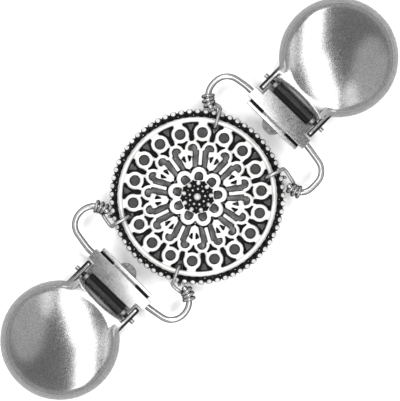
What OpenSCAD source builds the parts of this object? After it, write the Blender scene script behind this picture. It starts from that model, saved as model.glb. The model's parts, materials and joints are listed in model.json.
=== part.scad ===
// Cardigan clip: a pierced round medallion with a round-faced grip clip wired on at each side.
// It lies flat. X runs along the clip, Z is up, and the middle of the medallion stands over the origin.

/* [Overall] */
// Distance from the middle of the medallion to the middle of each clip face
face_x = 41.5; // [41:0.25:43]
// How far both clips sit to the -Y side of the middle of the medallion
clip_offset = 0.6; // [0:0.1:0.8]

/* [Medallion rim] */
// Diameter over the beads of the rim
medallion_d = 36.8; // [36.6:0.1:37]
// Number of beads in the rim
bead_n = 65; // [60:1:66]
// Diameter of a rim bead
bead_d = 1.66; // [1.5:0.02:1.7]
// Middle radius of the plain raised ring inside the beads
ring_r = 16.15; // [16.1:0.05:16.2]
// Width of the plain raised ring
ring_w = 1.05; // [0.95:0.05:1.1]

/* [Medallion openwork] */
// Thickness of the recessed floor plate
floor_t = 0.65; // [0.5:0.05:0.7]
// Number of eyelets, two for each petal of the flower
eyelet_n = 18; // [18:1:18]
// Radius at which the eyelets sit
eyelet_r = 13.46; // [13.4:0.02:13.5]
// Outer diameter of an eyelet
eyelet_d = 3.74; // [3.6:0.02:3.8]
// Diameter of an eyelet's hole
eyelet_hole_d = 2.18; // [2:0.02:2.3]
// Width of the neck between an eyelet and the ring
neck_w = 1.93; // [1.8:0.02:2]
// Radius at which the scrolls sit
scroll_r = 10.13; // [10.1:0.01:10.16]
// Outer radius of a scroll
scroll_out = 1.64; // [1.6:0.01:1.68]
// Width of the band that makes a scroll
scroll_w = 0.7; // [0.65:0.01:0.75]
// Width of the nine spokes
spoke_w = 0.84; // [0.75:0.01:0.9]
// Width of the nine fleur stems
stem_w = 0.65; // [0.6:0.01:0.75]
// Radius at which the middles of the nine petals sit
petal_r = 4.62; // [4.6:0.01:4.65]
// Outer radius of a petal
petal_out = 1.68; // [1.64:0.01:1.7]
// Radius of the round end of a petal's hole
petal_hole = 0.86; // [0.8:0.01:0.9]

/* [Wire] */
// Diameter of the bail wire
bail_d = 1.3; // [1.2:0.05:1.35]
// Diameter of the thin wrapping wire
wrap_d = 0.74; // [0.7:0.01:0.76]
// Turns of thin wire round each end of a bail
wrap_turns = 3; // [2:1:3]

/* [Clip] */
// Diameter of the round face
face_d = 25; // [24.5:0.25:25.5]
// Height of the crown of the face above the table
face_h = 5.4; // [5.2:0.1:5.8]
// Thickness of the stamped sheet
sheet_t = 0.75; // [0.65:0.05:0.8]
// Distance from the middle of the medallion to the bail's run through the lever
knuckle_x = 23.7; // [23.6:0.05:23.8]
// Distance from the middle of the medallion to the hinge pin
pin_x = 28.15; // [28.1:0.05:28.25]
// Diameter of the hinge pin
pin_d = 1; // [0.9:0.05:1]
// Overall width of the lever at its shoulders
lever_w = 16; // [15.6:0.1:16.2]

/* [Hidden] */

silver = [0.78, 0.78, 0.77];
nickel = [0.7, 0.71, 0.72];
steel = [0.62, 0.63, 0.65];

// Heights, all above the table. The wire loops lie on it and carry the medallion.
loop_rise = 1.5;
axis_z = loop_rise + wrap_d / 2;
back_z = axis_z - bead_d / 2;
floor_z = back_z + 0.12;
work_top = back_z + 1.35;
ring_z = back_z + 0.06;
ring_top = back_z + 1.56;

// The pattern repeats nine times, and each repeat is its own mirror image
repeat_n = eyelet_n / 2;
repeat_a = 360 / repeat_n;
half_a = repeat_a / 2;
quarter_a = repeat_a / 4;
bead_r = medallion_d / 2 - bead_d / 2;
floor_out = bead_r - bead_d / 2 + 0.25;
ledge = 0.04;
// Outlines drawn as one closed line are grown by a hair
hair = 0.001;

// Triangular gaps between the eyelets, next to the ring
gap_top = 15.5;
gap_tip = 13.35;
gap_w = 2;

// Wire loops round the rim, and the line that they swing about
gap_r = 14.8;
loop_mid = 16.95;
loop_half = loop_mid - gap_r;
loop_a = 30.5;
swing_x = loop_mid * cos(loop_a);

// Coils on the ends of the bails
wire_gap = 0.05;
coil_r = bail_d / 2 + wire_gap + wrap_d / 2;
coil_pitch = 0.86;

// One row for each corner: side and half that it lies in, where the bail's bend is widest
// (along, across), the radius of its end, the turn at which the coil sits, and the angle at
// which the thin wire comes back over the beads
CORNERS = [
    // side, half, top_x, top_y, end_r, coil_a, over_a
    [1, 1, 19.4, 14.3, 4.2, 146, 29.5],
    [1, -1, 18.05, 15.75, 3.0, 165, 26.5],
    [-1, 1, 19.25, 15.15, 3.8, 159, 25],
    [-1, -1, 19.5, 15.25, 4.0, 155, 28]
];
under_a = 33.5;

// Bends of a bail: a slight one outside the lever, where its legs lean in, and a round one
lean = 9;
lean_y = 8.6;
lean_r = 3;
bend_r = 3.6;

// Clip heights and fits
jaw_t = 0.8;
run_fit = 0.05;
lever_t = 0.7;
knuckle_out = 1.25;
lever_top = axis_z + knuckle_out;
hinge_out = 1.05;
ear_in = 6.4;
ear_t = 1.2;
ear_reach = 2.8;
neck_top = axis_z + 1.45;

// A straight bar of width w with round ends, flat
module bar(p, q, w) {
    d = q - p;
    translate(p) rotate(atan2(d[1], d[0])) translate([0, -w / 2]) square([norm(d), w]);
    translate(p) circle(d = w, $fn = 16);
    translate(q) circle(d = w, $fn = 16);
}

function polar(r, a) = [r * cos(a), r * sin(a)];

// One eyelet: a tube on a neck out to the plain ring, with two feet on the scrolls
module eyelet() {
    h = work_top - floor_z;
    foot_out = scroll_r + scroll_out - 0.35;
    translate([0, 0, floor_z]) difference() {
        union() {
            translate([eyelet_r, 0, 0]) cylinder(d = eyelet_d, h = h, $fn = 40);
            translate([eyelet_r, -neck_w / 2, 0.03]) cube([ring_r - eyelet_r, neck_w, h - 0.06]);
            for (s = [-1, 1]) translate([0, 0, 0.05]) linear_extrude(h - 0.13) polygon([
                polar(eyelet_r - 0.4, s * 7.2), polar(eyelet_r - 1.2, s * 4.4),
                polar(foot_out, s * 5.8), polar(foot_out, s * 8.6)
            ]);
        }
        translate([eyelet_r, 0, -1]) cylinder(d = eyelet_hole_d, h = h + 2, $fn = 40);
    }
}

// One scroll: a ring open towards the spoke, with an arm that curls in from the stem
module scroll_flat() {
    mouth = [polar(8.2, 2), polar(9.75, 2), polar(9.85, 9.6), polar(8.2, 11)];
    difference() {
        translate(polar(scroll_r, quarter_a)) circle(r = scroll_out, $fn = 28);
        translate(polar(scroll_r, quarter_a)) circle(r = scroll_out - scroll_w, $fn = 20);
        polygon(mouth);
    }
    bar(polar(9.75, half_a), polar(9.42, 12), 0.68);
}

// One fleur: a stem that ends in a crown of three lobes, with two points that look back along it
module fleur_flat() {
    inner_end = [[5.87, 0], [5.95, 0.2], [6.22, 0.32], [6.15, 0.5], [6.32, 0.76]];
    side_lobe = [[7.1, 0.98], [8.35, 1.2], [8.3, 1.0]];
    neck = [[7.5, 0.52], [7.4, stem_w / 2], [9.9, stem_w / 2]];
    half = concat(inner_end, side_lobe, neck);
    polygon(concat(half, [for (i = [len(half) - 1:-1:1]) [half[i][0], -half[i][1]]]));
}

// One fleur with the two scrolls that spring from its stem
module motif() {
    translate([0, 0, floor_z + 0.02]) linear_extrude(work_top - floor_z - 0.04)
        offset(delta = hair) {
            rotate(-half_a) scroll_flat();
            rotate(half_a) mirror([0, 1]) scroll_flat();
            fleur_flat();
        }
}

// The flower: nine round petals, each with a hole that is flat towards the middle
module flower() {
    hole_r = 4.37;
    hole_end = 3.5;
    corner = 0.2;
    w = petal_hole - corner;
    translate([0, 0, floor_z + 0.04]) linear_extrude(work_top - floor_z - 0.08)
        offset(delta = hair) difference() {
            for (i = [0:repeat_n - 1]) rotate(i * repeat_a) translate([petal_r, 0])
                circle(r = petal_out, $fn = 28);
            for (i = [0:repeat_n - 1]) rotate(i * repeat_a) offset(r = corner, $fn = 8) {
                translate([hole_r, 0]) circle(r = w, $fn = 20);
                translate([hole_end + corner, -w]) square([hole_r - hole_end - corner, 2 * w]);
            }
            circle(r = 3.35, $fn = 48);
        }
    translate([0, 0, floor_z]) cylinder(r = 3.48, h = floor_t, $fn = 64);
}

// The recessed floor: a pierced band under the eyelets, with a tongue between the scrolls
module floor_band() {
    band_in = scroll_r + scroll_out - 0.3;
    tongue = [[10.2, -0.3], [band_in + 0.2, -0.9], [band_in + 0.2, 0.9], [10.2, 0.3]];
    difference() {
        translate([0, 0, floor_z + 0.01]) rotate_extrude($fn = 120)
            translate([band_in, 0]) square([floor_out - band_in, floor_t]);
        for (i = [0:eyelet_n - 1]) rotate(i * half_a) {
            translate([eyelet_r, 0, 0]) cylinder(d = eyelet_hole_d + 2 * ledge, h = work_top, $fn = 40);
            rotate(quarter_a) linear_extrude(work_top)
                polygon([[gap_tip, 0], [gap_top, -gap_w / 2], [gap_top, gap_w / 2]]);
        }
    }
    for (i = [0:eyelet_n - 1]) rotate(i * half_a) translate([0, 0, floor_z - 0.01])
        linear_extrude(floor_t - 0.02) polygon(tongue);
}

// The plain ring, rounded on top
module rim_ring() {
    edge = 0.35;
    rotate_extrude($fn = 120) {
        translate([ring_r - ring_w / 2, ring_z]) square([ring_w, ring_top - ring_z - edge]);
        translate([ring_r - ring_w / 2 + edge, ring_z]) square([ring_w - 2 * edge, ring_top - ring_z]);
        for (s = [-1, 1])
            translate([ring_r + s * (ring_w / 2 - edge), ring_top - edge]) circle(r = edge, $fn = 24);
    }
}

// Centre of the flower: a dome with three rings of small beads round it
module flower_centre() {
    dome_r = 0.78;
    seat = floor_z + floor_t;
    translate([0, 0, seat]) sphere(r = dome_r, $fn = 24);
    for (i = [0:repeat_n - 1]) rotate(i * repeat_a) {
        translate([1.64, 0, seat + 0.1]) sphere(r = 0.26, $fn = 16);
        translate([2.86, 0, seat + 0.2]) sphere(r = 0.44, $fn = 20);
        rotate(half_a) translate([2.37, 0, seat + 0.05]) sphere(r = 0.22, $fn = 16);
    }
}

// One spoke: a low root that joins the petal, then a raised bar out to the scrolls
module spoke() {
    root_in = petal_r + 1;
    bar_in = petal_r + petal_out + 0.3;
    translate([root_in, -spoke_w / 2 + 0.02, floor_z + 0.07])
        cube([bar_in - root_in + 0.3, spoke_w - 0.04, floor_t]);
    translate([bar_in, -spoke_w / 2, floor_z + 0.06])
        cube([scroll_r - bar_in, spoke_w, work_top - floor_z - 0.12]);
}

module medallion() {
    color(silver) {
        floor_band();
        rim_ring();
        for (i = [0:eyelet_n - 1]) rotate(i * half_a) eyelet();
        for (i = [0:repeat_n - 1]) rotate(i * repeat_a) {
            rotate(half_a) motif();
            spoke();
        }
        flower();
        for (i = [0:bead_n - 1]) rotate(i * 360 / bead_n)
            translate([bead_r, 0, axis_z]) sphere(d = bead_d, $fn = 24);
        flower_centre();
    }
}

// A corner is drawn with X towards the clip and Y outwards, then put in its place
module at_corner(c) {
    mirror([c[0] < 0 ? 1 : 0, 0, 0]) mirror([0, c[1] < 0 ? 1 : 0, 0]) translate([0, 0, axis_z])
        children();
}

function corner(side, half) = [for (c = CORNERS) if (c[0] == side && c[1] == half) c][0];

// Round arc of bail wire about a point, from angle a0 through sweep
module wire_arc(p, r, a0, sweep, d) {
    translate(p) rotate(a0) rotate_extrude(angle = sweep, $fn = 64) translate([r, 0]) circle(d = d, $fn = 32);
}

// A collar, too thin to see, that holds two lengths of bail wire together at a joint
module collar(p, a) {
    seam = 0.005;
    translate(p) rotate([90, 0, a]) cylinder(d = bail_d + 2 * seam, h = 0.12, center = true, $fn = 32);
}

// Half of a bail: from the middle of its straight run, round the bends and into the coil
module bail_half(c) {
    top_x = c[2];
    top_y = c[3];
    end_r = c[4];
    leg = (top_y - lean_y - lean_r * sin(lean) - bend_r * (1 - sin(lean))) / cos(lean);
    leg_x = knuckle_x - lean_r * (1 - cos(lean));
    bend_x = leg_x - leg * sin(lean) - bend_r * cos(lean);
    coil_half = wrap_turns * coil_pitch / 2;
    end_a = c[5] + (coil_half + 0.1) / end_r * 180 / PI;
    at_corner(c) {
        translate([knuckle_x, -0.01, 0]) rotate([-90, 0, 0])
            cylinder(d = bail_d, h = lean_y + 0.01, $fn = 32);
        wire_arc([knuckle_x - lean_r, lean_y, 0], lean_r, 0, lean, bail_d);
        translate([leg_x, lean_y + lean_r * sin(lean), 0]) rotate([-90, 0, lean])
            cylinder(d = bail_d, h = leg, $fn = 32);
        wire_arc([bend_x, top_y - bend_r, 0], bend_r, lean, 90 - lean, bail_d);
        translate([top_x, top_y, 0]) rotate([0, 90, 0]) cylinder(d = bail_d, h = bend_x - top_x, $fn = 32);
        wire_arc([top_x, top_y - end_r, 0], end_r, 90, end_a - 90, bail_d);
        collar([knuckle_x, lean_y, 0], 0);
        collar([leg_x, lean_y + lean_r * sin(lean), 0], lean);
        collar([leg_x - leg * sin(lean), lean_y + lean_r * sin(lean) + leg * cos(lean), 0], lean);
        collar([bend_x, top_y, 0], 90);
        collar([top_x, top_y, 0], 90);
    }
}

module bail(side) {
    color(nickel) {
        bail_half(corner(side, 1));
        bail_half(corner(side, -1));
    }
}

// Tube along a list of points, in flat-sided rings
function unit(v) = v / norm(v);
function tangents(p) = [for (i = [0:len(p) - 1]) unit(p[min(i + 1, len(p) - 1)] - p[max(i - 1, 0)])];
function square_to(n, t) = unit(n - (n * t) * t);
function carried(t, first) = [
    for (i = 0, n = square_to(first, t[0]); i < len(t);
        i = i + 1, n = square_to(n, t[min(i, len(t) - 1)])) n
];

module tube(path, d, sides) {
    t = tangents(path);
    n = carried(t, [0, 0, 1]);
    rings = len(path);
    points = [
        for (i = [0:rings - 1]) for (k = [0:sides - 1])
            path[i] + d / 2 * (cos(k * 360 / sides) * n[i] + sin(k * 360 / sides) * cross(t[i], n[i]))
    ];
    walls = [
        for (i = [0:rings - 2]) for (k = [0:sides - 1])
            [i * sides + k, (i + 1) * sides + k, (i + 1) * sides + (k + 1) % sides,
                i * sides + (k + 1) % sides]
    ];
    first_end = [for (k = [0:sides - 1]) k];
    last_end = [for (k = [sides - 1:-1:0]) (rings - 1) * sides + k];
    polyhedron(points, concat(walls, [first_end, last_end]), convexity = 8);
}

// Points of the thin wire at one corner: its turns on the bail, a lead, then once round the rim
function coil_point(c, turn) =
    let (
        along = (turn - wrap_turns / 2) * coil_pitch,
        a = c[5] + along / c[4] * 180 / PI,
        phase = 360 * (turn - wrap_turns) + 180,
        r = c[4] + coil_r * cos(phase)
    )
    [c[2] + r * cos(a), c[3] - c[4] + r * sin(a), -coil_r * sin(phase)];

function rounded(v) = sign(v) * pow(abs(v), 0.72);
function loop_angle(c, turn) = turn < 0.5
    ? c[6] + (loop_a - c[6]) * turn * 2
    : loop_a + (under_a - loop_a) * (turn - 0.5) * 2;
function loop_point(c, turn) = concat(
    polar(loop_mid + loop_half * rounded(cos(360 * turn)), loop_angle(c, turn)),
    [loop_rise * rounded(sin(360 * turn))]);

function bezier(p, q, r, s, t) =
    pow(1 - t, 3) * p + 3 * t * pow(1 - t, 2) * q + 3 * t * t * (1 - t) * r + pow(t, 3) * s;

module wrap(side, half) {
    c = corner(side, half);
    coil_steps = 12 * wrap_turns;
    loop_start = 0.09;
    loop_end = 0.9;
    coil_end = coil_point(c, wrap_turns);
    landing = loop_point(c, loop_start);
    heading = unit(loop_point(c, loop_start + 0.02) - landing);
    coil = [for (i = [0:coil_steps]) coil_point(c, wrap_turns * i / coil_steps)];
    over = coil_end + [0, 0, 0.5];
    lead = [for (i = [1:5]) bezier(coil_end, over, landing - 0.6 * heading, landing, i / 6)];
    round_rim = [for (i = [0:20]) loop_point(c, loop_start + (loop_end - loop_start) * i / 20)];
    color(nickel) at_corner(c) tube(concat(coil, lead, round_rim), wrap_d, 8);
}

// Side of a clip: drawn on the +X side of the medallion, then mirrored for the other
module at_side(side) {
    mirror([side < 0 ? 1 : 0, 0, 0]) translate([0, -clip_offset, 0]) children();
}

// Rod along Y through the point x, at the height of all the hinges
module rod(x, d, l) {
    translate([x, 0, axis_z]) rotate([90, 0, 0]) cylinder(d = d, h = l, center = true, $fn = 48);
}

// Lever: a T-shaped plate over a roll at each end, with a channel and a thumb tab along its front
module lever(side) {
    shoulder_x = 22.5;
    shoulder_l = 2.4;
    inner_w = 11.7;
    inner_end = pin_x - 1.55;
    roll_w = 9.8;
    lip_x = 21.2;
    lip_w = 14;
    lip_low = axis_z - 0.9;
    web_w = 6.4;
    base_l = 1.7;
    tab_r = 2.3;
    tab_x = 22;
    under = lever_top - lever_t;
    color(nickel) at_side(side) difference() {
        union() {
            rod(knuckle_x, 2 * knuckle_out - 0.1, lever_w - 0.2);
            rod(pin_x, 2 * hinge_out, roll_w);
            translate([shoulder_x, -lever_w / 2, under]) cube([shoulder_l, lever_w, lever_t]);
            translate([knuckle_x, -inner_w / 2, under]) cube([inner_end - knuckle_x, inner_w, lever_t]);
            translate([inner_end - 1, -roll_w / 2 + 0.1, axis_z + 0.1]) cube([1.8, roll_w - 0.2, 0.6]);
            translate([lip_x, -web_w / 2, under]) cube([shoulder_x - lip_x + 0.2, web_w, lever_t]);
            translate([lip_x, -lip_w / 2, lip_low]) cube([sheet_t, lip_w, lever_top - lip_low]);
            translate([lip_x + 0.1, -lip_w / 2 + 0.1, lip_low + 0.1]) cube([base_l - 0.1, lip_w - 0.2, 0.5]);
            intersection() {
                translate([tab_x, 0, lip_low]) cylinder(r = tab_r, h = sheet_t, $fn = 48);
                translate([tab_x - tab_r - 1, -tab_r - 1, lip_low - 1]) cube([tab_r + 1, 2 * tab_r + 2, 3]);
            }
        }
        rod(knuckle_x, bail_d + 2 * run_fit, lever_w + 2);
        rod(pin_x, pin_d + 2 * run_fit, roll_w + 2);
    }
}

module pin(side) {
    pin_l = 16.8;
    color(steel) at_side(side) rod(pin_x, pin_d, pin_l);
}

// Outline of the round face's shell: a shallow crown that rolls over at the edge, in sheet metal
function face_outline() =
    let (
        roll = 3.6,
        sag = 17,
        roll_end = 68,
        crown_r = face_d / 2 - roll * (sin(roll_end) - sin(sag)),
        big_r = crown_r / sin(sag),
        crown_z = face_h - big_r,
        roll_x = crown_r - roll * sin(sag),
        roll_z = crown_z + (big_r - roll) * cos(sag),
        roll_in = roll - sheet_t,
        crown = [for (i = [0:6]) sag * i / 6],
        turn = [for (i = [0:7]) sag + (roll_end - sag) * i / 7],
        lip = 0.3
    )
    concat(
        [for (a = crown) [big_r * sin(a), crown_z + big_r * cos(a)]],
        [for (a = turn) if (a > sag) [roll_x + roll * sin(a), roll_z + roll * cos(a)]],
        [for (t = [0, sheet_t])
            [roll_x + (roll - t) * sin(roll_end), roll_z + roll * cos(roll_end) - lip]],
        [for (i = [7:-1:1]) [roll_x + roll_in * sin(turn[i]), roll_z + roll_in * cos(turn[i])]],
        [for (i = [6:-1:0]) [(big_r - sheet_t) * sin(crown[i]), crown_z + (big_r - sheet_t) * cos(crown[i])]]
    );

// Ear of the face in side view: round in front about the pin, running back under the crown.
// Its edge is folded over, so it is thicker than the sheet.
module ear_flat() {
    ear_low = 0.9;
    intersection() {
        union() {
            circle(r = ear_reach, $fn = 48);
            translate([0, -ear_reach]) square([4.4, 2 * ear_reach]);
        }
        translate([-4, -ear_low]) square([10, ear_low + neck_top - axis_z]);
    }
}

module face(side) {
    neck_edge = 30;
    hollow_r = 26;
    neck_end = 31.5;
    ear_out = ear_in + ear_t;
    color(silver) at_side(side) difference() {
        union() {
            translate([face_x, 0, 0]) rotate_extrude($fn = 96) polygon(face_outline());
            translate([neck_edge - 1, -ear_in, neck_top - sheet_t])
                cube([neck_end - neck_edge + 1, 2 * ear_in, sheet_t]);
            for (s = [-1, 1])
                translate([pin_x, s * (ear_in + ear_t / 2) + ear_t / 2, axis_z])
                    rotate([90, 0, 0]) linear_extrude(ear_t) ear_flat();
        }
        intersection() {
            translate([neck_edge - hollow_r, 0, 0]) cylinder(r = hollow_r, h = face_h + 1, $fn = 96);
            translate([pin_x, -ear_in, 0]) cube([2 * ear_in, 2 * ear_in, face_h]);
        }
        rod(pin_x, pin_d + 0.04, 2 * ear_out + 2);
    }
}

// Back jaw: a round plate with a raised gripping edge, a forked tail and two lugs on the hinge pin
module jaw(side) {
    plate_r = 10.6;
    grip_w = 0.9;
    grip_top = 2;
    tail_x = 25.3;
    tail_w = 12.4;
    fork_w = 10;
    fork_end = pin_x + hinge_out + 0.15;
    lug_t = 0.7;
    lug_y = fork_w / 2 + 0.05 + lug_t / 2;
    lug_out = 1;
    color(steel) at_side(side) difference() {
        union() {
            translate([face_x, 0, 0]) cylinder(r = plate_r, h = jaw_t, $fn = 96);
            translate([tail_x, -tail_w / 2, 0]) cube([face_x - plate_r - tail_x + 3, tail_w, jaw_t]);
            translate([face_x, 0, 0]) difference() {
                cylinder(r = plate_r, h = grip_top, $fn = 96);
                translate([0, 0, -1]) cylinder(r = plate_r - grip_w, h = grip_top + 2, $fn = 96);
            }
            for (s = [-1, 1]) translate([pin_x, s * lug_y, 0]) {
                translate([0, 0, axis_z]) rotate([90, 0, 0])
                    cylinder(r = lug_out, h = lug_t, center = true, $fn = 48);
                translate([-0.9, -lug_t / 2, 0]) cube([1.8, lug_t, axis_z]);
            }
        }
        translate([tail_x - 1, -fork_w / 2, -1]) cube([fork_end - tail_x + 1, fork_w, jaw_t + 2]);
        rod(pin_x, pin_d + 2 * run_fit, tail_w + 2);
    }
}

medallion();
bail(1);  // bail_right
wrap(1, 1);  // wrap_right_top
wrap(1, -1);  // wrap_right_bottom
lever(1);  // lever_right
pin(1);  // pin_right
face(1);  // face_right
jaw(1);  // jaw_right
bail(-1);  // bail_left
wrap(-1, 1);  // wrap_left_top
wrap(-1, -1);  // wrap_left_bottom
lever(-1);  // lever_left
pin(-1);  // pin_left
face(-1);  // face_left
jaw(-1);  // jaw_left
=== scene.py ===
"""Cardigan clip lying on pale paper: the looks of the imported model. Sizes are in millimetres."""
import json
import math

import bmesh
import bpy
import numpy as np
from mathutils import Matrix, Vector


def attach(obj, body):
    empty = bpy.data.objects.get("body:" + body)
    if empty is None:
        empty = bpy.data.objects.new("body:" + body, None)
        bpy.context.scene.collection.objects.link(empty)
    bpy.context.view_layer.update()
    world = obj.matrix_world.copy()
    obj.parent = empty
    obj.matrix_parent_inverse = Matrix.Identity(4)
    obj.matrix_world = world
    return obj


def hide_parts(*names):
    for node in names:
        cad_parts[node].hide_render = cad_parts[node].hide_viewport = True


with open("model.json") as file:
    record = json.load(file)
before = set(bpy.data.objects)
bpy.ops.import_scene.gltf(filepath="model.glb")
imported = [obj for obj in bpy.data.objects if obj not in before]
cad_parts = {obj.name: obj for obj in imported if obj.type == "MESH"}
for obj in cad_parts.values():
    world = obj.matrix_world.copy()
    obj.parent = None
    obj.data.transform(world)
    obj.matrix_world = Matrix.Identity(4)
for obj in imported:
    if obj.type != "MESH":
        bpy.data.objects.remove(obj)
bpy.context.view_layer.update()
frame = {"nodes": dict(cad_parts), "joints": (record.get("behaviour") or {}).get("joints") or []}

MM = 0.001
SIDES = {"right": 1, "left": -1}
HALVES = {"top": 1, "bottom": -1}


def hinge(name):
    """Where a joint of the frame lies: along the clip, across it, and above the table."""
    joint = next(joint for joint in frame["joints"] if joint["name"] == name)
    return [metres / MM for metres in joint["pos_m"]]


# The two hinge lines of a clip. All the wires and hinges lie at the same height.
KNUCKLE_X, CLIP_Y, AXIS_Z = hinge("lever_swing_right")
PIN_X = hinge("face_flip_right")[0]

# Medallion sizes, shared with the solids
MEDALLION_R = 18.4
REPEAT_N = 9
BEAD_N = 65
BEAD_R = 0.83
BEAD_RING_R = MEDALLION_R - BEAD_R
RING_R = 16.15
BACK_Z = AXIS_Z - BEAD_R
FLOOR_Z = BACK_Z + 0.12
FLOOR_T = 0.65
FLOOR_TOP = FLOOR_Z + FLOOR_T
WORK_TOP = BACK_Z + 1.35

# Wire sizes
BAIL_D = 1.3
WRAP_D = 0.74
WRAP_TURNS = 3

# Clip sizes: the round face, the ears on both sides of its hollowed neck, and the lever's plate
FACE_X = 41.5
FACE_R = 12.5
FACE_H = 5.4
EAR_IN = 6.4
EAR_T = 1.2
EAR_OUT = EAR_IN + EAR_T
NECK_EDGE = 30
HOLLOW_R = 26
NECK_TOP = AXIS_Z + 1.45
LEVER_TOP = AXIS_Z + 1.25

# Camera: the photo looks straight down, and the clip's long axis runs up to the right
PHOTO_W = 400
MM_PER_PX = 25 / 119
CLIP_ANGLE = math.radians(45.4)
CENTRE_LEFT_PX = 2.7
CENTRE_ABOVE_PX = 3.7
CAMERA_H = 620
SENSOR = 36


def make_camera():
    """Straight above the paper, and turned so that the clip runs as it does in the photo."""
    cam = bpy.data.cameras.new("camera")
    cam.sensor_width = SENSOR
    cam.lens = SENSOR * CAMERA_H / (PHOTO_W * MM_PER_PX)
    cam.clip_start = 0.01
    cam.clip_end = 10
    obj = bpy.data.objects.new("camera", cam)
    bpy.context.scene.collection.objects.link(obj)
    right = Vector((math.cos(CLIP_ANGLE), -math.sin(CLIP_ANGLE), 0))
    up = Vector((math.sin(CLIP_ANGLE), math.cos(CLIP_ANGLE), 0))
    spot = (right * CENTRE_LEFT_PX - up * CENTRE_ABOVE_PX) * MM_PER_PX
    obj.location = (spot + Vector((0, 0, CAMERA_H))) * MM
    obj.rotation_euler = (0, 0, -CLIP_ANGLE)
    bpy.context.scene.camera = obj


# Mesh helpers

def piece(name, verts, faces, body, replaced):
    """A new piece from points in millimetres, riding on a body and standing for CAD nodes."""
    mesh = bpy.data.meshes.new(name)
    mesh.from_pydata([tuple(v) for v in np.asarray(verts) * MM], [], faces)
    mesh.validate()
    obj = bpy.data.objects.new(name, mesh)
    bpy.context.scene.collection.objects.link(obj)
    dress(obj, body, replaced)
    return obj


def dress(obj, body, replaced):
    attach(obj, body)
    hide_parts(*replaced)


def shade(obj, angle=35):
    """Smooth shading, with a crease where two faces meet at more than an angle in degrees."""
    for poly in obj.data.polygons:
        poly.use_smooth = True
    obj.data.set_sharp_from_angle(angle=math.radians(angle))


def apply_modifiers(obj):
    graph = bpy.context.evaluated_depsgraph_get()
    mesh = bpy.data.meshes.new_from_object(obj.evaluated_get(graph))
    obj.modifiers.clear()
    obj.data = mesh


def add_remesh(obj, voxel):
    """Rebuilds a piece as one even skin when its modifiers are applied."""
    remesh = obj.modifiers.new("even", "REMESH")
    remesh.mode = "VOXEL"
    remesh.voxel_size = voxel * MM


def soften(obj, voxel, passes, triangles):
    """Fuses the closed shells of a piece into one skin, rounds its edges and thins the mesh."""
    add_remesh(obj, voxel)
    smooth = obj.modifiers.new("round", "SMOOTH")
    smooth.factor = 0.5
    smooth.iterations = passes
    apply_modifiers(obj)
    count = sum(len(p.vertices) - 2 for p in obj.data.polygons)
    if count > triangles:
        thin = obj.modifiers.new("thin", "DECIMATE")
        thin.ratio = triangles / count
        apply_modifiers(obj)
    shade(obj, 180)


def read_points(mesh):
    """The mesh's points in millimetres and their normals."""
    points = np.empty(len(mesh.vertices) * 3)
    mesh.vertices.foreach_get("co", points)
    normals = np.empty(len(mesh.vertices) * 3)
    mesh.vertex_normals.foreach_get("vector", normals)
    return points.reshape(-1, 3) / MM, normals.reshape(-1, 3)


def write_points(mesh, points):
    mesh.vertices.foreach_set("co", (points * MM).ravel())
    mesh.update()


def paint(mesh, values):
    """Stores how bright each point is: 1 is bare metal, and 0 is nearly black, which on these parts is
    mostly painted shade.
    """
    layer = mesh.attributes.new("polish_and_shade", "FLOAT", "POINT")
    layer.data.foreach_set("value", np.clip(values, 0, 1).astype(np.float32))


def step(values, low, high):
    """0 below low and 1 above high, with a smooth rise between them."""
    t = np.clip((values - low) / (high - low), 0, 1)
    return t * t * (3 - 2 * t)


def copy_node(name, node):
    """A copy of a CAD node whose doubled points are joined."""
    obj = bpy.data.objects.new(name, frame["nodes"][node].data.copy())
    bpy.context.scene.collection.objects.link(obj)
    obj.data.materials.clear()
    joined = bmesh.new()
    joined.from_mesh(obj.data)
    bmesh.ops.remove_doubles(joined, verts=joined.verts, dist=1e-7)
    joined.to_mesh(obj.data)
    joined.free()
    return obj


def join_mesh(obj, added):
    """Adds the shells of another mesh to an object's own and drops that mesh."""
    both = bmesh.new()
    both.from_mesh(obj.data)
    both.from_mesh(added)
    both.to_mesh(obj.data)
    both.free()
    bpy.data.meshes.remove(added)


def soft_copy(node, suffix, voxel, passes, triangles):
    """A copy of a CAD node with the rounded edges of stamped metal, on the body of the same name."""
    obj = copy_node(f"{node}_{suffix}", node)
    dress(obj, node, [node])
    soften(obj, voxel, passes, triangles)
    return obj


def polar(r, degrees):
    a = math.radians(degrees)
    return np.array([r * math.cos(a), r * math.sin(a)])


def tube(path, d, sides=16):
    """Round wire along a list of points, with domed ends."""
    # Width of a domed end's rings, and how far out they lie, as shares of the wire's radius
    dome = [(0.98, 0.18), (0.83, 0.55), (0.55, 0.83)]
    r = d / 2
    ahead = np.gradient(path, axis=0)
    ahead /= np.linalg.norm(ahead, axis=1)[:, None]
    # Any direction that isn't along the wire can start the rings
    normal = np.cross(ahead[0], [0, 0.3, 1])
    rings = []
    for middle, forward in zip(path, ahead):
        normal = normal - np.dot(normal, forward) * forward
        normal /= np.linalg.norm(normal)
        rings.append((middle, normal, np.cross(forward, normal), 1))
    start, *_, end = rings
    first = [(start[0] - ahead[0] * r * out, *start[1:3], width) for width, out in reversed(dome)]
    last = [(end[0] + ahead[-1] * r * out, *end[1:3], width) for width, out in dome]
    angles = np.arange(sides) * 2 * math.pi / sides
    verts = [
        middle + r * width * (math.cos(a) * normal + math.sin(a) * across)
        for middle, normal, across, width in first + rings + last
        for a in angles
    ]
    faces = []
    for ring in range(0, len(verts) - sides, sides):
        for k in range(sides):
            after = (k + 1) % sides
            faces.append((ring + k, ring + after, ring + sides + after, ring + sides + k))
    faces.append(tuple(reversed(range(sides))))
    faces.append(tuple(range(len(verts) - sides, len(verts))))
    return verts, faces


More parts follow.
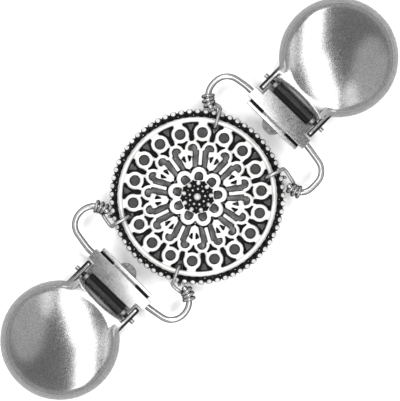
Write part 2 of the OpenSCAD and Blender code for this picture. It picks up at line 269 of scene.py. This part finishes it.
def ball(r, columns=20, rows=10):
    """Points and faces of a ball about the origin."""
    verts = [(0, 0, r)]
    for row in range(1, rows):
        ring_r, z = polar(r, 90 - 180 * row / rows)
        verts += [(*polar(ring_r, 360 * k / columns), z) for k in range(columns)]
    verts.append((0, 0, -r))
    faces = [(0, 1 + k, 1 + (k + 1) % columns) for k in range(columns)]
    for row in range(rows - 2):
        first = 1 + row * columns
        for k in range(columns):
            after = (k + 1) % columns
            faces.append((first + k, first + columns + k, first + columns + after, first + after))
    last = 1 + (rows - 2) * columns
    faces += [(len(verts) - 1, last + (k + 1) % columns, last + k) for k in range(columns)]
    return np.array(verts), faces


# Wires

# Their route is the same as in the solids, in finer steps. A corner is drawn with X towards the
# clip and Y outwards, at the height of the hinges, and then put in its place. Each has one row
# here: where the bail's bend is widest (along, across), the radius of its end, the angle at which
# the coil sits on it, and the angle at which the thin wire passes over the beads.
CORNERS = {
    # (side, half): (top_x, top_y, end_r, coil_a, over_a)
    ("right", "top"): (19.4, 14.3, 4.2, 146, 29.5),
    ("right", "bottom"): (18.05, 15.75, 3.0, 165, 26.5),
    ("left", "top"): (19.25, 15.15, 3.8, 159, 25),
    ("left", "bottom"): (19.5, 15.25, 4.0, 155, 28),
}

# Coils on the ends of the bails
WIRE_GAP = 0.05
COIL_R = BAIL_D / 2 + WIRE_GAP + WRAP_D / 2
COIL_PITCH = 0.86

# Wire loops round the rim, through the gaps next to the ring
GAP_R = 14.8
LOOP_MID = 16.95
LOOP_HALF = LOOP_MID - GAP_R
LOOP_RISE = 1.5
LOOP_A = 30.5
UNDER_A = 33.5

# Bends of a bail: a slight one outside the lever, where its legs lean in, and a round one
LEAN = 9
LEAN_Y = 8.6
LEAN_R = 3
BEND_R = 3.6


def place(points, side, half):
    """From the drawing of one corner to its place on the object."""
    return np.asarray(points) * (SIDES[side], HALVES[half], 1) + (0, 0, AXIS_Z)


def coil_point(corner, turn):
    top_x, top_y, end_r, coil_a, _ = corner
    along = (turn - WRAP_TURNS / 2) * COIL_PITCH
    a = coil_a + math.degrees(along / end_r)
    phase = math.radians(360 * (turn - WRAP_TURNS) + 180)
    x, y = polar(end_r + COIL_R * math.cos(phase), a)
    return np.array([top_x + x, top_y - end_r + y, -COIL_R * math.sin(phase)])


def squared(v):
    """Pushes the sine or cosine of a round loop out towards a square with round corners."""
    return math.copysign(abs(v) ** 0.72, v)


def loop_point(corner, turn):
    """A point on the loop: over the beads, down through the gap, and back out under the rim."""
    over_a = corner[4]
    if turn < 0.5:
        a = over_a + (LOOP_A - over_a) * turn * 2
    else:
        a = LOOP_A + (UNDER_A - LOOP_A) * (turn - 0.5) * 2
    w = 2 * math.pi * turn
    x, y = polar(LOOP_MID + LOOP_HALF * squared(math.cos(w)), a)
    return np.array([x, y, LOOP_RISE * squared(math.sin(w))])


def bezier(p, q, r, s, t):
    return (1 - t) ** 3 * p + 3 * t * (1 - t) ** 2 * q + 3 * t * t * (1 - t) * r + t ** 3 * s


def smoothed(points, passes):
    for _ in range(passes):
        points[1:-1] = 0.5 * points[1:-1] + 0.25 * (points[:-2] + points[2:])
    return points


def wrap_route(corner):
    """The thin wire's turns on the bail, a lead over to the rim, and its loop round the rim."""
    coil_steps = 24 * WRAP_TURNS
    lead_steps = 12
    rim_steps = 48
    lead_rise = 0.5
    lead_run = 0.6
    loop_start = 0.09
    loop_end = 0.9
    coil_end = coil_point(corner, WRAP_TURNS)
    landing = loop_point(corner, loop_start)
    heading = loop_point(corner, loop_start + 0.02) - landing
    heading /= np.linalg.norm(heading)
    bends = (coil_end, coil_end + (0, 0, lead_rise), landing - lead_run * heading, landing)
    coil = [coil_point(corner, WRAP_TURNS * i / coil_steps) for i in range(coil_steps + 1)]
    lead = [bezier(*bends, i / lead_steps) for i in range(1, lead_steps)]
    rim = [loop_point(corner, turn) for turn in np.linspace(loop_start, loop_end, rim_steps + 1)]
    return smoothed(np.array(coil + lead + rim), 2)


def arc(centre, r, start, end, count):
    """Points of a level arc, from its start angle to its end angle in degrees."""
    return [np.array([*(centre + polar(r, a)), 0]) for a in np.linspace(start, end, count)]


def bail_route(side, half):
    """Half a bail, from the middle of its straight run to the end in the coil."""
    top_x, top_y, end_r, coil_a, _ = CORNERS[side, half]
    lean = math.radians(LEAN)
    past_coil = 0.1
    leg = (top_y - LEAN_Y - LEAN_R * math.sin(lean) - BEND_R * (1 - math.sin(lean))) / math.cos(lean)
    leg_x = KNUCKLE_X - LEAN_R * (1 - math.cos(lean))
    bend_x = leg_x - leg * math.sin(lean) - BEND_R * math.cos(lean)
    end_a = coil_a + math.degrees((WRAP_TURNS * COIL_PITCH / 2 + past_coil) / end_r)
    points = [np.array([KNUCKLE_X, y, 0]) for y in np.linspace(0, LEAN_Y, 20)[:-1]]
    points += arc((KNUCKLE_X - LEAN_R, LEAN_Y), LEAN_R, 0, LEAN, 4)
    points += arc((bend_x, top_y - BEND_R), BEND_R, LEAN, 90, 18)
    points += arc((top_x, top_y - end_r), end_r, 90, end_a, 20)
    return place(points, side, half)


def paint_wire(obj, low, high):
    """Wire is bare along its top and painted dark down its sides as shade."""
    _, normals = read_points(obj.data)
    paint(obj.data, step(normals[:, 2], low, high))


def make_bails():
    for side in SIDES:
        node = f"bail_{side}"
        upper = bail_route(side, "top")
        lower = bail_route(side, "bottom")
        route = smoothed(np.concatenate([upper[::-1], lower[1:]]), 3)
        verts, faces = tube(route, BAIL_D, sides=24)
        obj = piece(f"{node}_wire", verts, faces, node, [node])
        shade(obj)
        paint_wire(obj, low=0.62, high=0.96)
        obj.data.materials.append(MATERIALS["wire"])


def make_wraps():
    for (side, half), corner in CORNERS.items():
        node = f"wrap_{side}_{half}"
        verts, faces = tube(place(wrap_route(corner), side, half), WRAP_D)
        obj = piece(f"{node}_wire", verts, faces, f"bail_{side}", [node])
        shade(obj)
        paint_wire(obj, low=0.45, high=0.92)
        obj.data.materials.append(MATERIALS["wrap"])


# Medallion

def add_beads(obj):
    """Crisp beads on the rim and round the flower's middle, over the softened ones."""
    rings = [
        # count, radius of the ring, first angle, height, radius of a bead
        (BEAD_N, BEAD_RING_R, 0, AXIS_Z, BEAD_R),
        (REPEAT_N, 1.64, 0, FLOOR_TOP + 0.1, 0.26),
        (REPEAT_N, 2.86, 0, FLOOR_TOP + 0.2, 0.44),
        (REPEAT_N, 2.37, 180 / REPEAT_N, FLOOR_TOP + 0.05, 0.22),
        (1, 0, 0, FLOOR_TOP, 0.78),
    ]
    verts = []
    faces = []
    for count, ring_r, first, z, r in rings:
        ball_verts, ball_faces = ball(r)
        for i in range(count):
            centre = (*polar(ring_r, first + 360 * i / count), z)
            faces += [tuple(v + len(verts) for v in face) for face in ball_faces]
            verts += [tuple((v + centre) * MM) for v in ball_verts]
    beads = bpy.data.meshes.new("beads")
    beads.from_pydata(verts, [], faces)
    join_mesh(obj, beads)


def shade_foot_of(points, normals):
    """A dark foot that stands in for shade round the raised work and at the edges of the holes: the
    casting's own shape grown a little, and cut off below the floor's top.

    The growth fades out at the beads and round the wires that pass through the gaps by the rim."""
    grow = 0.15
    beads_from = 17
    fade = 0.5
    top = FLOOR_TOP - 0.03
    share = np.clip((beads_from - np.hypot(points[:, 0], points[:, 1])) / fade, 0, 1)
    wire_x, wire_y = polar(GAP_R, LOOP_A)
    from_wire = np.hypot(np.abs(points[:, 0]) - wire_x, np.abs(points[:, 1]) - wire_y)
    share = share * step(from_wire, 0.9, 1.5)
    shade_foot = points + normals * grow * share[:, None]
    shade_foot[:, 2] = np.clip(shade_foot[:, 2], points[:, 2].min(), top)
    return shade_foot


def make_medallion():
    """The casting: the solid's own shape over a wider dark foot that stands in for shade, softened,
    with crisp beads.
    """
    voxel = 0.11
    obj = copy_node("medallion_casting", "medallion")
    dress(obj, "medallion", ["medallion"])
    add_remesh(obj, voxel)
    apply_modifiers(obj)
    shade_foot = obj.data.copy()
    write_points(shade_foot, shade_foot_of(*read_points(obj.data)))
    join_mesh(obj, shade_foot)
    soften(obj, voxel, passes=5, triangles=150000)
    add_beads(obj)
    shade(obj, 180)
    obj.data.materials.append(MATERIALS["medallion"])


# Round faces

# A shallow crown whose edge rolls over: radius of the roll, and the slopes where it starts and ends
ROLL = 3.6
SAG = math.radians(17)
ROLL_END = math.radians(68)
# Distance from the middle at which the roll starts, and the crown's own radius of curvature
CROWN_R = FACE_R - ROLL * (math.sin(ROLL_END) - math.sin(SAG))
BIG_R = CROWN_R / math.sin(SAG)
# Distance over which the crown levels out in the saddle between the ears
FLARE = 0.8
# How far out along the clip these reach: the neck's own shape, its edges in settling, and the ears
NECK_END = FACE_X - 7
SETTLE_END = FACE_X - 8
EAR_END = FACE_X - 8.8


def clip_coordinates(points):
    """Distance out along the clip from the middle of the medallion, and across the clip."""
    return np.abs(points[:, 0]), points[:, 1] - CLIP_Y


def crown_height(r):
    """Height of the round face at a distance from its middle."""
    crown_z = FACE_H - BIG_R
    roll_x = CROWN_R - ROLL * math.sin(SAG)
    roll_z = crown_z + (BIG_R - ROLL) * math.cos(SAG)
    crown = crown_z + np.sqrt(BIG_R ** 2 - np.minimum(r, CROWN_R) ** 2)
    edge = roll_z + np.sqrt(np.maximum(ROLL ** 2 - np.clip(r - roll_x, 0, ROLL) ** 2, 0))
    return np.where(r < CROWN_R, crown, edge)


def between_ears(across):
    """1 on the clip's middle line, fading to 0 at the ears."""
    return 1 - step(np.abs(across), EAR_IN - 1.2, EAR_IN + 0.5)


def past_hollow(along, across):
    """Distance out from the round hollow that is cut into the neck between the ears."""
    return np.hypot(along - NECK_EDGE + HOLLOW_R, across) - HOLLOW_R


def face_height(along, across):
    """Top of the face. Between the ears the crown runs out into the neck in a flat saddle."""
    r = np.hypot(along - FACE_X, across)
    crown = crown_height(r)
    past = np.maximum(r - CROWN_R, 0)
    saddle = crown_height(CROWN_R) - math.tan(SAG) * FLARE * (1 - np.exp(-past / FLARE))
    share = between_ears(across) * (r > CROWN_R)
    neck = np.maximum(crown, NECK_TOP) * (1 - share) + saddle * share
    in_neck = (np.abs(across) < EAR_OUT) & (along < NECK_END)
    return np.where(in_neck, neck, crown)


def settle_face(obj):
    """Lays the softened skin exactly on the face's smooth top, away from its edges."""
    reach = 0.5
    edge = 0.1
    rim_edge = 0.08
    fade = 0.3
    points, normals = read_points(obj.data)
    along, across = clip_coordinates(points)
    top = face_height(along, across)
    upward = normals[:, 2] > 0.3
    near = upward & (np.abs(points[:, 2] - top) < reach)
    from_rim = (FACE_R - rim_edge - np.hypot(along - FACE_X, across)) / fade
    from_hollow = (past_hollow(along, across) - edge) / fade
    from_side = (EAR_OUT - edge - np.abs(across)) / fade
    in_neck = along < SETTLE_END
    weight = np.where(in_neck, np.minimum(from_hollow, from_side), from_rim)
    # What lies well inside the round face isn't held back by the neck's sides
    weight = np.maximum(weight, np.where(in_neck, np.minimum(from_rim, from_hollow), 0))
    weight = np.clip(weight, 0, 1) * near
    points[:, 2] += weight * (top - points[:, 2])
    write_points(obj.data, points)


def paint_face(obj):
    """Bare on top, with painted shade inside, underneath and darkening down the roll, and ears painted
    dark as shade that each have a painted highlight line.
    """
    # Heights over which the lower lip turns bare, and distances over which painted shade darkens the
    # roll
    lip = (1.25, 1.55)
    shaded_roll = (11.1, 11.6)
    roll_shade = 0.65
    painted_line_y = EAR_IN + 0.48
    painted_line_half = 0.26
    points, normals = read_points(obj.data)
    along, across = clip_coordinates(points)
    height = points[:, 2]
    across_abs = np.abs(across)
    r = np.hypot(along - FACE_X, across)
    neck = along < NECK_END
    # Downward faces, the lower lip and the edge of the neck's hollow are painted dark as shade
    bare = step(normals[:, 2], -0.1, 0.25) * step(height, *lip)
    bare *= np.where(neck, step(past_hollow(along, across), 0, 0.16), 1)
    bare *= 1 - roll_shade * step(r, *shaded_roll) * (1 - between_ears(across) * neck)
    # A painted highlight along the top of each ear
    painted_line = step(height, NECK_TOP - 0.3, NECK_TOP - 0.1)
    painted_line *= step(painted_line_half - np.abs(across_abs - painted_line_y), 0, 0.12)
    ear = (r > FACE_R + 0.1) & (along < EAR_END) & (across_abs > EAR_IN - 0.1)
    paint(obj.data, np.where(ear, painted_line, bare))


def make_faces():
    for side in SIDES:
        obj = soft_copy(
            f"face_{side}", "shell", voxel=0.15, passes=8, triangles=120000)
        settle_face(obj)
        paint_face(obj)
        obj.data.materials.append(MATERIALS["face"])


# Levers

def finish_lever(obj):
    """Levels the plate and paints it bare, with painted shade down its edges, across a channel and on
    the rolls, and a ribbed thumb tab.
    """
    channel_x = 22.2
    channel_half = 0.36
    channel_shade = 0.75
    tab_end = 21.15
    rib_pitch = 0.42
    roll_start = PIN_X - 0.25
    points, normals = read_points(obj.data)
    along, _ = clip_coordinates(points)
    upward = normals[:, 2]
    points[(points[:, 2] > LEVER_TOP - 0.06) & (upward > 0.9), 2] = LEVER_TOP
    write_points(obj.data, points)
    plate = step(points[:, 2], LEVER_TOP - 0.16, LEVER_TOP - 0.04)
    # Painted shade across the plate in the channel
    plate *= 1 - channel_shade * step(channel_half - np.abs(along - channel_x), 0, 0.1)
    ribs = 0.2 + 0.2 * (np.sin(2 * math.pi * along / rib_pitch) > 0)
    tab = ribs * ((along < tab_end) & (upward > 0.4))
    # Painted shade on the rolls
    shaded_roll = 0.1 * ((along > roll_start) & (upward > 0.2))
    paint(obj.data, np.maximum(plate, np.maximum(tab, shaded_roll)))


def make_levers():
    for side in SIDES:
        obj = soft_copy(
            f"lever_{side}", "stamping", voxel=0.075, passes=4, triangles=90000)
        finish_lever(obj)
        obj.data.materials.append(MATERIALS["lever"])


# Materials

class Graph:
    """A new material and small helpers that add and link its shader nodes."""

    def __init__(self, name):
        self.material = bpy.data.materials.new(name)
        self.material.use_nodes = True
        self.tree = self.material.node_tree
        self.shader = self.tree.nodes["Principled BSDF"]
        self.coords = self.add("ShaderNodeTexCoord").outputs["Object"]

    def add(self, kind, **values):
        node = self.tree.nodes.new(kind)
        for key, value in values.items():
            setattr(node, key, value)
        return node

    def link(self, source, target):
        self.tree.links.new(source, target)

    def feed(self, name, source):
        """Drives one of the shader's own sockets."""
        self.link(source, self.shader.inputs[name])

    def noise(self, scale):
        """Noise whose features are about scale across."""
        mapping = self.add("ShaderNodeMapping")
        mapping.inputs["Scale"].default_value = [1 / (scale * MM)] * 3
        self.link(self.coords, mapping.inputs["Vector"])
        noise = self.add("ShaderNodeTexNoise")
        noise.inputs["Scale"].default_value = 1
        noise.inputs["Detail"].default_value = 4
        self.link(mapping.outputs["Vector"], noise.inputs["Vector"])
        return noise.outputs["Fac"]

    def remap(self, value, low, high, to_low=0, to_high=1):
        node = self.add("ShaderNodeMapRange", interpolation_type="SMOOTHSTEP")
        self.link(value, node.inputs["Value"])
        limits = {"From Min": low, "From Max": high, "To Min": to_low, "To Max": to_high}
        for key, number in limits.items():
            node.inputs[key].default_value = number
        return node.outputs["Result"]

    def maths(self, operation, a, b=0):
        node = self.add("ShaderNodeMath", operation=operation)
        for socket, value in zip(node.inputs, (a, b)):
            if isinstance(value, (int, float)):
                socket.default_value = value
            else:
                self.link(value, socket)
        return node.outputs["Value"]

    def mix(self, factor, a, b):
        """One colour where factor is 0 and another where it is 1."""
        node = self.add("ShaderNodeMix", data_type="RGBA")
        self.link(factor, node.inputs["Factor"])
        # Sockets 6 and 7 take a Mix node's colours, and its third output gives the result
        for socket, value in ((node.inputs[6], a), (node.inputs[7], b)):
            if isinstance(value, tuple):
                socket.default_value = (*value, 1)
            else:
                self.link(value, socket)
        return node.outputs[2]

    def coordinate(self, axis):
        split = self.add("ShaderNodeSeparateXYZ")
        self.link(self.coords, split.inputs["Vector"])
        return split.outputs[axis]

    def across(self):
        """Distance from the middle line of the clips."""
        return self.maths("ABSOLUTE", self.maths("SUBTRACT", self.coordinate("Y"), CLIP_Y * MM))

    def radius(self):
        """Distance from the middle of the medallion, seen from above."""
        flat = self.add("ShaderNodeVectorMath", operation="MULTIPLY")
        flat.inputs[1].default_value = (1, 1, 0)
        self.link(self.coords, flat.inputs[0])
        length = self.add("ShaderNodeVectorMath", operation="LENGTH")
        self.link(flat.outputs["Vector"], length.inputs[0])
        return length.outputs["Value"]

    def varied(self, scale, light, dark):
        """A tone that drifts between two colours."""
        return self.mix(self.remap(self.noise(scale), 0.3, 0.7), light, dark)

    def oxide_and_shade(self, bare, dark_tone, tone):
        """Dull black where bare is 0, which is real oxide in the medallion's hollows and painted shade
        on the other parts, and the metal's own tone and shine where it is 1.
        """
        self.feed("Base Color", self.mix(bare, dark_tone, tone))
        self.feed("Specular IOR Level", self.remap(bare, 0, 1, 0.08, 0.5))

    def bump(self, value, depth, strength):
        node = self.add("ShaderNodeBump")
        node.inputs["Distance"].default_value = depth * MM
        node.inputs["Strength"].default_value = strength
        self.link(value, node.inputs["Height"])
        self.feed("Normal", node.outputs["Normal"])


def antique_silver():
    """Bright on what stands up, with black oxide in the hollows and between the beads."""
    middle_r = 3.2
    rim_r = 16.75
    painted_line_r = RING_R + 0.21
    g = Graph("antique_silver")
    radius = g.radius()
    uneven = g.maths("MULTIPLY", g.noise(0.9), 0.1 * MM)
    edge = g.maths("ADD", g.coordinate("Z"), uneven)
    # The low beads of the middle are bright too, and rim beads on their tops and outer sides alone
    middle = g.remap(radius, (middle_r + 0.1) * MM, (middle_r - 0.1) * MM, 0, 0.22 * MM)
    on_rim = g.remap(radius, (rim_r - 0.05) * MM, (rim_r + 0.05) * MM)
    outward = g.maths("MULTIPLY", g.maths("SUBTRACT", radius, BEAD_RING_R * MM), 0.6)
    rim = g.maths("MULTIPLY", on_rim, g.maths("SUBTRACT", outward, 0.37 * MM))
    level = g.maths("ADD", edge, g.maths("ADD", middle, rim))
    bright = g.remap(level, (WORK_TOP - 0.11) * MM, (WORK_TOP + 0.01) * MM)
    # A thin gray line of painted shade runs round the plain ring, a little outside its middle
    from_painted_line = g.maths("ABSOLUTE", g.maths("SUBTRACT", radius, painted_line_r * MM))
    painted_line = g.remap(from_painted_line, 0.02 * MM, 0.09 * MM, 0.6, 1)
    light = g.mix(g.remap(g.noise(2.5), 0.35, 0.7), (0.68, 0.68, 0.67), (0.5, 0.5, 0.49))
    # The gray of the painted shade line
    tone = g.mix(painted_line, (0.2, 0.2, 0.2), light)
    dark_tone = g.mix(g.noise(0.7), (0.003, 0.003, 0.0035), (0.012, 0.012, 0.0125))
    g.oxide_and_shade(bright, dark_tone, tone)
    g.feed("Metallic", g.maths("MULTIPLY", bright, 0.55))
    g.feed("Roughness", g.remap(bright, 0, 1, 0.7, 0.26))
    g.bump(g.noise(0.35), 0.03, 0.5)
    return g.material


def metal(name, light, dark, rough, grain, depth, speckle=0):
    """Plated metal: bare where its points' painted value is high, and darkened towards black where it
    is low, mostly as painted shade.
    """
    g = Graph(name)
    tone = g.varied(3, light, dark)
    if speckle:
        spots = g.remap(g.noise(grain), 0.35, 0.65, 1 - speckle, 1)
        tone = g.mix(spots, (0, 0, 0), tone)
    polish_and_shade = g.add("ShaderNodeAttribute", attribute_name="polish_and_shade").outputs["Fac"]
    uneven = g.maths("MULTIPLY", g.noise(0.5), 0.16)
    bare_share = g.remap(g.maths("ADD", polish_and_shade, uneven), 0.08, 1.08)
    # The near-black where points are painted low is painted shade: wire sides, under the faces, the
    # levers' channel and rolls
    g.oxide_and_shade(bare_share, (0.008, 0.008, 0.008), tone)
    g.feed("Metallic", bare_share)
    g.feed("Roughness", g.remap(g.noise(2 * grain), 0.3, 0.7, 0.85 * rough, 1.2 * rough))
    g.bump(g.noise(grain), depth, 0.6)
    return g.material


def pin_metal():
    """Bright where the pin stands out of the ears, and painted black as shade between them."""
    g = Graph("pin_steel")
    outside = g.remap(g.across(), EAR_OUT * MM, (EAR_OUT + 0.1) * MM)
    tone = g.varied(0.6, (0.72, 0.72, 0.73), (0.5, 0.5, 0.5))
    # Painted shade on the pin between the ears
    g.feed("Base Color", g.mix(outside, (0.02, 0.02, 0.02), tone))
    g.feed("Metallic", outside)
    g.shader.inputs["Roughness"].default_value = 0.25
    g.bump(g.noise(0.4), 0.008, 0.6)
    return g.material


def jaw_metal():
    """Plain steel, painted black as shade under the lever's roll, and bare on the plate and the lugs.
    """
    plate_x = 29.4
    lug_y = 5
    g = Graph("jaw_steel")
    along = g.maths("ABSOLUTE", g.coordinate("X"))
    uneven = g.maths("MULTIPLY", g.noise(0.8), 0.3 * MM)
    plate = g.remap(g.maths("ADD", along, uneven), plate_x * MM, (plate_x + 0.6) * MM)
    lugs = g.remap(g.across(), (lug_y - 0.15) * MM, (lug_y + 0.15) * MM, 0, 0.9)
    unshaded = g.maths("MAXIMUM", plate, lugs)
    # The near-black tone is painted shade
    g.oxide_and_shade(unshaded, (0.012, 0.012, 0.0125), g.varied(1.2, (0.44, 0.44, 0.445), (0.39, 0.39, 0.395)))
    g.feed("Metallic", unshaded)
    g.feed("Roughness", g.remap(g.noise(0.8), 0.3, 0.7, 0.36, 0.5))
    g.bump(g.noise(0.4), 0.015, 0.6)
    return g.material


def make_materials():
    return {
        "medallion": antique_silver(),
        "wire": metal(
            "bail_wire", (0.84, 0.84, 0.84), (0.68, 0.68, 0.68), rough=0.2, grain=0.4, depth=0.006),
        "wrap": metal(
            "wrap_wire", (0.68, 0.68, 0.68), (0.48, 0.48, 0.48), rough=0.22, grain=0.3, depth=0.006),
        "lever": metal(
            "lever_plate", (0.66, 0.66, 0.67), (0.56, 0.56, 0.56), rough=0.12, grain=0.25, depth=0.002),
        "face": metal(
            "face_satin", (0.72, 0.72, 0.72), (0.66, 0.66, 0.66), rough=0.18, grain=0.22, depth=0.008,
            speckle=0.3),
        "jaw": jaw_metal(),
        "pin": pin_metal(),
    }


def dress_nodes():
    """The jaws and pins are the frame's own nodes, and get their looks here."""
    for side in SIDES:
        for part in ("jaw", "pin"):
            mesh = frame["nodes"][f"{part}_{side}"].data
            mesh.materials.clear()
            mesh.materials.append(MATERIALS[part])


# Stage and light

# A strip of panels runs over the middle and bows to the left at its upper end, to the right at its
# lower end. Each round face shows it as a white band on its inner side. Weaker panels further out
# give a pale rim by the neck and a soft far glow. Spots are in the photo's own directions, right
# and up, and a panel off the middle has a twin half a turn away.
PANEL_H = 130
PANELS = [
    # name, shape, spot, size, lean in degrees, glow
    ("strip", "RECTANGLE", (0, 0), (46, 76), 15, 2.4),
    ("bow", "RECTANGLE", (-14, 98), (40, 150), 0, 2.4),
    ("rim", "ELLIPSE", (-60, 50), (26, 84), 4, 0.8),
    ("side", "ELLIPSE", (-100, 10), (90, 170), 0, 0.24),
    ("side_core", "ELLIPSE", (-94, 10), (50, 110), 0, 0.16),
]

# A ring of suns, the light that it puts on level paper, and its lean from straight above
FILL_N = 8
FILL = 6
FILL_LEAN = math.radians(56)
# One weak sun straight above, which reaches into the holes
FILL_TOP = 0.18

# Grays of the room, each with how far up it lies, from 0 at the horizon to 1 straight up
ROOM = [(0, 0.34), (0.3, 0.36), (0.4, 0.46), (0.64, 0.42), (0.8, 0.22), (1, 0.19)]


def make_floor():
    half = 1500 * MM
    mesh = bpy.data.meshes.new("floor")
    corners = [(-half, -half, 0), (half, -half, 0), (half, half, 0), (-half, half, 0)]
    mesh.from_pydata(corners, [], [(0, 1, 2, 3)])
    obj = bpy.data.objects.new("floor", mesh)
    bpy.context.scene.collection.objects.link(obj)
    material = bpy.data.materials.new("floor_paper")
    material.use_nodes = True
    shader = material.node_tree.nodes["Principled BSDF"]
    shader.inputs["Base Color"].default_value = (0.9, 0.9, 0.9, 1)
    shader.inputs["Roughness"].default_value = 0.9
    shader.inputs["Specular IOR Level"].default_value = 0.1
    mesh.materials.append(material)


def panel(name, shape, spot, size, lean, glow):
    """A panel that faces down and shows in polished metal alone."""
    data = bpy.data.lights.new(name, "AREA")
    data.shape = shape
    data.size, data.size_y = (s * MM for s in size)
    data.energy = glow * math.pi * size[0] * size[1] * MM * MM
    obj = bpy.data.objects.new(name, data)
    obj.location = Matrix.Rotation(-CLIP_ANGLE, 4, "Z") @ (Vector((*spot, PANEL_H)) * MM)
    obj.rotation_euler = (0, 0, math.radians(lean) - CLIP_ANGLE)
    obj.visible_diffuse = False
    bpy.context.scene.collection.objects.link(obj)


def make_panels():
    for name, shape, (right, up), *form in PANELS:
        panel(f"{name}_upper", shape, (right, up), *form)
        if right:
            panel(f"{name}_lower", shape, (-right, -up), *form)


def sun(name, energy, lean, turn):
    """A soft sun that is kept out of the reflections."""
    data = bpy.data.lights.new(name, "SUN")
    data.energy = energy
    data.angle = math.radians(20)
    obj = bpy.data.objects.new(name, data)
    obj.rotation_euler = (lean, 0, turn)
    obj.visible_glossy = False
    bpy.context.scene.collection.objects.link(obj)


def make_suns():
    """Even light on the paper from low all round, and a little from above."""
    energy = FILL / FILL_N / math.cos(FILL_LEAN)
    for number in range(FILL_N):
        sun(f"fill_{number}", energy, FILL_LEAN, 2 * math.pi * number / FILL_N)
    sun("fill_top", FILL_TOP, 0, 0)


def make_world():
    """A gray room that is darker straight overhead and near the floor."""
    world = bpy.data.worlds.new("world")
    world.use_nodes = True
    tree = world.node_tree
    split = tree.nodes.new("ShaderNodeSeparateXYZ")
    coords = tree.nodes.new("ShaderNodeTexCoord")
    tree.links.new(coords.outputs["Generated"], split.inputs["Vector"])
    ramp = tree.nodes.new("ShaderNodeValToRGB")
    tree.links.new(split.outputs["Z"], ramp.inputs["Fac"])
    while len(ramp.color_ramp.elements) < len(ROOM):
        ramp.color_ramp.elements.new(0.5)
    for element, (position, gray) in zip(ramp.color_ramp.elements, ROOM):
        element.position = position
        element.color = (gray, gray, gray, 1)
    tree.links.new(ramp.outputs["Color"], tree.nodes["Background"].inputs["Color"])
    bpy.context.scene.world = world


make_camera()
bpy.context.scene.view_settings.view_transform = "Standard"
MATERIALS = make_materials()
make_medallion()
make_bails()
make_wraps()
make_faces()
make_levers()
dress_nodes()
make_floor()
make_world()
make_suns()
make_panels()
